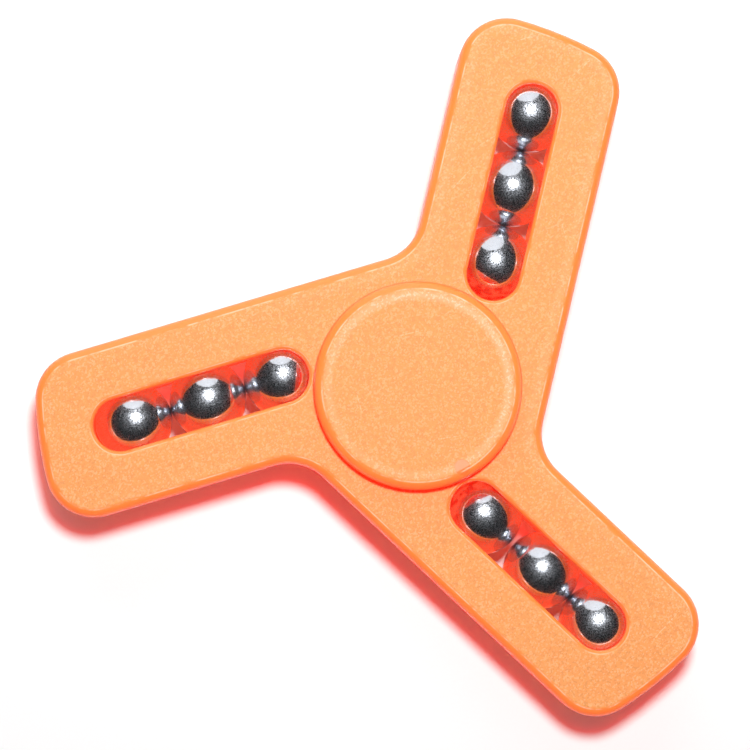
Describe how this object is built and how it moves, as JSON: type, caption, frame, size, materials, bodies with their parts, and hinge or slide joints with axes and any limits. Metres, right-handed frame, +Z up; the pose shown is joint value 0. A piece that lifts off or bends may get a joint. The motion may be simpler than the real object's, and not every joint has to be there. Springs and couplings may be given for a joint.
{
  "type": "fidget spinner",
  "caption": "Pinwheel fidget spinner: a two-shell plastic body on a ball bearing, with loose steel balls in a slot along each arm and a round finger cap on each side.",
  "frame": {"origin": "centre of the lower finger cap's flat outer face, which the spinner stands on", "axes": "+Z up along the spin axis; +Y along arm a, the arms following counter-clockwise seen from above"},
  "size_m": [0.0861, 0.0815, 0.0152],
  "materials": {
    "orange_plastic": "fine spark-eroded texture on the flat faces, smooth glossy rounded edges",
    "cap_plastic": "fine spark-eroded texture on the flat face, smooth glossy rim",
    "weight_ball_steel": "polished, finely pitted",
    "bearing_ball_steel": "polished",
    "bearing_steel": "ground",
    "shield_steel": "pressed sheet",
    "cage_steel": "pressed ribbon"
  },
  "bodies": {
    "hub": {"upper_cap": "cap_plastic", "lower_cap": "cap_plastic", "bearing_inner_ring": "bearing_steel"},
    "rotor": {"upper_shell": "orange_plastic", "lower_shell": "orange_plastic", "bearing_outer_ring": "bearing_steel", "bearing_shield_upper": "shield_steel", "bearing_shield_lower": "shield_steel"},
    "cage": {"bearing_cage_upper": "cage_steel", "bearing_cage_lower": "cage_steel", "bearing_cage_rivets": "cage_steel"},
    "bearing_ball_1": {"bearing_ball_1": "bearing_ball_steel"},
    "bearing_ball_2": {"bearing_ball_2": "bearing_ball_steel"},
    "bearing_ball_3": {"bearing_ball_3": "bearing_ball_steel"},
    "bearing_ball_4": {"bearing_ball_4": "bearing_ball_steel"},
    "bearing_ball_5": {"bearing_ball_5": "bearing_ball_steel"},
    "bearing_ball_6": {"bearing_ball_6": "bearing_ball_steel"},
    "bearing_ball_7": {"bearing_ball_7": "bearing_ball_steel"},
    "weight_ball_a1": {"weight_ball_a1": "weight_ball_steel"},
    "weight_ball_a2": {"weight_ball_a2": "weight_ball_steel"},
    "weight_ball_a3": {"weight_ball_a3": "weight_ball_steel"},
    "weight_ball_b1": {"weight_ball_b1": "weight_ball_steel"},
    "weight_ball_b2": {"weight_ball_b2": "weight_ball_steel"},
    "weight_ball_b3": {"weight_ball_b3": "weight_ball_steel"},
    "weight_ball_c1": {"weight_ball_c1": "weight_ball_steel"},
    "weight_ball_c2": {"weight_ball_c2": "weight_ball_steel"},
    "weight_ball_c3": {"weight_ball_c3": "weight_ball_steel"}
  },
  "joints": [
    {"name": "rotor_spin", "type": "hinge", "parent": "hub", "child": "rotor", "pos_m": [0, 0, 0.0076], "axis": [0, 0, 1], "continuous": true},
    {"name": "cage_spin", "type": "hinge", "parent": "hub", "child": "cage", "pos_m": [0, 0, 0.0076], "axis": [0, 0, 1], "continuous": true},
    {"name": "bearing_ball_1_roll", "type": "hinge", "parent": "cage", "child": "bearing_ball_1", "pos_m": [0.0075, 0, 0.0076], "axis": [0, 0, 1], "continuous": true},
    {"name": "bearing_ball_2_roll", "type": "hinge", "parent": "cage", "child": "bearing_ball_2", "pos_m": [0.00468, 0.00586, 0.0076], "axis": [0, 0, 1], "continuous": true},
    {"name": "bearing_ball_3_roll", "type": "hinge", "parent": "cage", "child": "bearing_ball_3", "pos_m": [-0.00167, 0.00731, 0.0076], "axis": [0, 0, 1], "continuous": true},
    {"name": "bearing_ball_4_roll", "type": "hinge", "parent": "cage", "child": "bearing_ball_4", "pos_m": [-0.00676, 0.00325, 0.0076], "axis": [0, 0, 1], "continuous": true},
    {"name": "bearing_ball_5_roll", "type": "hinge", "parent": "cage", "child": "bearing_ball_5", "pos_m": [-0.00676, -0.00325, 0.0076], "axis": [0, 0, 1], "continuous": true},
    {"name": "bearing_ball_6_roll", "type": "hinge", "parent": "cage", "child": "bearing_ball_6", "pos_m": [-0.00167, -0.00731, 0.0076], "axis": [0, 0, 1], "continuous": true},
    {"name": "bearing_ball_7_roll", "type": "hinge", "parent": "cage", "child": "bearing_ball_7", "pos_m": [0.00468, -0.00586, 0.0076], "axis": [0, 0, 1], "continuous": true},
    {"name": "weight_ball_a1_slide", "type": "slide", "parent": "rotor", "child": "weight_ball_a1", "axis": [0, 1, 0], "range_m": [-0.00165, 0.00015]},
    {"name": "weight_ball_a2_slide", "type": "slide", "parent": "rotor", "child": "weight_ball_a2", "axis": [0, 1, 0], "range_m": [-0.00165, 0.00015]},
    {"name": "weight_ball_a3_slide", "type": "slide", "parent": "rotor", "child": "weight_ball_a3", "axis": [0, 1, 0], "range_m": [-0.00165, 0.00015]},
    {"name": "weight_ball_b1_slide", "type": "slide", "parent": "rotor", "child": "weight_ball_b1", "axis": [-0.866, -0.5, 0], "range_m": [-0.0001, 0.0017]},
    {"name": "weight_ball_b2_slide", "type": "slide", "parent": "rotor", "child": "weight_ball_b2", "axis": [-0.866, -0.5, 0], "range_m": [-0.0001, 0.0017]},
    {"name": "weight_ball_b3_slide", "type": "slide", "parent": "rotor", "child": "weight_ball_b3", "axis": [-0.866, -0.5, 0], "range_m": [-0.0001, 0.0017]},
    {"name": "weight_ball_c1_slide", "type": "slide", "parent": "rotor", "child": "weight_ball_c1", "axis": [0.866, -0.5, 0], "range_m": [-0.00144, 0.00003]},
    {"name": "weight_ball_c2_slide", "type": "slide", "parent": "rotor", "child": "weight_ball_c2", "axis": [0.866, -0.5, 0], "range_m": [-0.00144, 0.00003]},
    {"name": "weight_ball_c3_slide", "type": "slide", "parent": "rotor", "child": "weight_ball_c3", "axis": [0.866, -0.5, 0], "range_m": [-0.00144, 0.00003]}
  ],
  "couplings": [
    {"joint": "cage_spin", "follows": "rotor_spin", "ratio": 0.6323},
    {"joint": "bearing_ball_1_roll", "follows": "rotor_spin", "ratio": 1.7573},
    {"joint": "bearing_ball_2_roll", "follows": "rotor_spin", "ratio": 1.7573},
    {"joint": "bearing_ball_3_roll", "follows": "rotor_spin", "ratio": 1.7573},
    {"joint": "bearing_ball_4_roll", "follows": "rotor_spin", "ratio": 1.7573},
    {"joint": "bearing_ball_5_roll", "follows": "rotor_spin", "ratio": 1.7573},
    {"joint": "bearing_ball_6_roll", "follows": "rotor_spin", "ratio": 1.7573},
    {"joint": "bearing_ball_7_roll", "follows": "rotor_spin", "ratio": 1.7573},
    {"joint": "weight_ball_a2_slide", "follows": "weight_ball_a1_slide", "ratio": 1},
    {"joint": "weight_ball_a3_slide", "follows": "weight_ball_a1_slide", "ratio": 1},
    {"joint": "weight_ball_b2_slide", "follows": "weight_ball_b1_slide", "ratio": 1},
    {"joint": "weight_ball_b3_slide", "follows": "weight_ball_b1_slide", "ratio": 1},
    {"joint": "weight_ball_c2_slide", "follows": "weight_ball_c1_slide", "ratio": 1},
    {"joint": "weight_ball_c3_slide", "follows": "weight_ball_c1_slide", "ratio": 1}
  ]
}
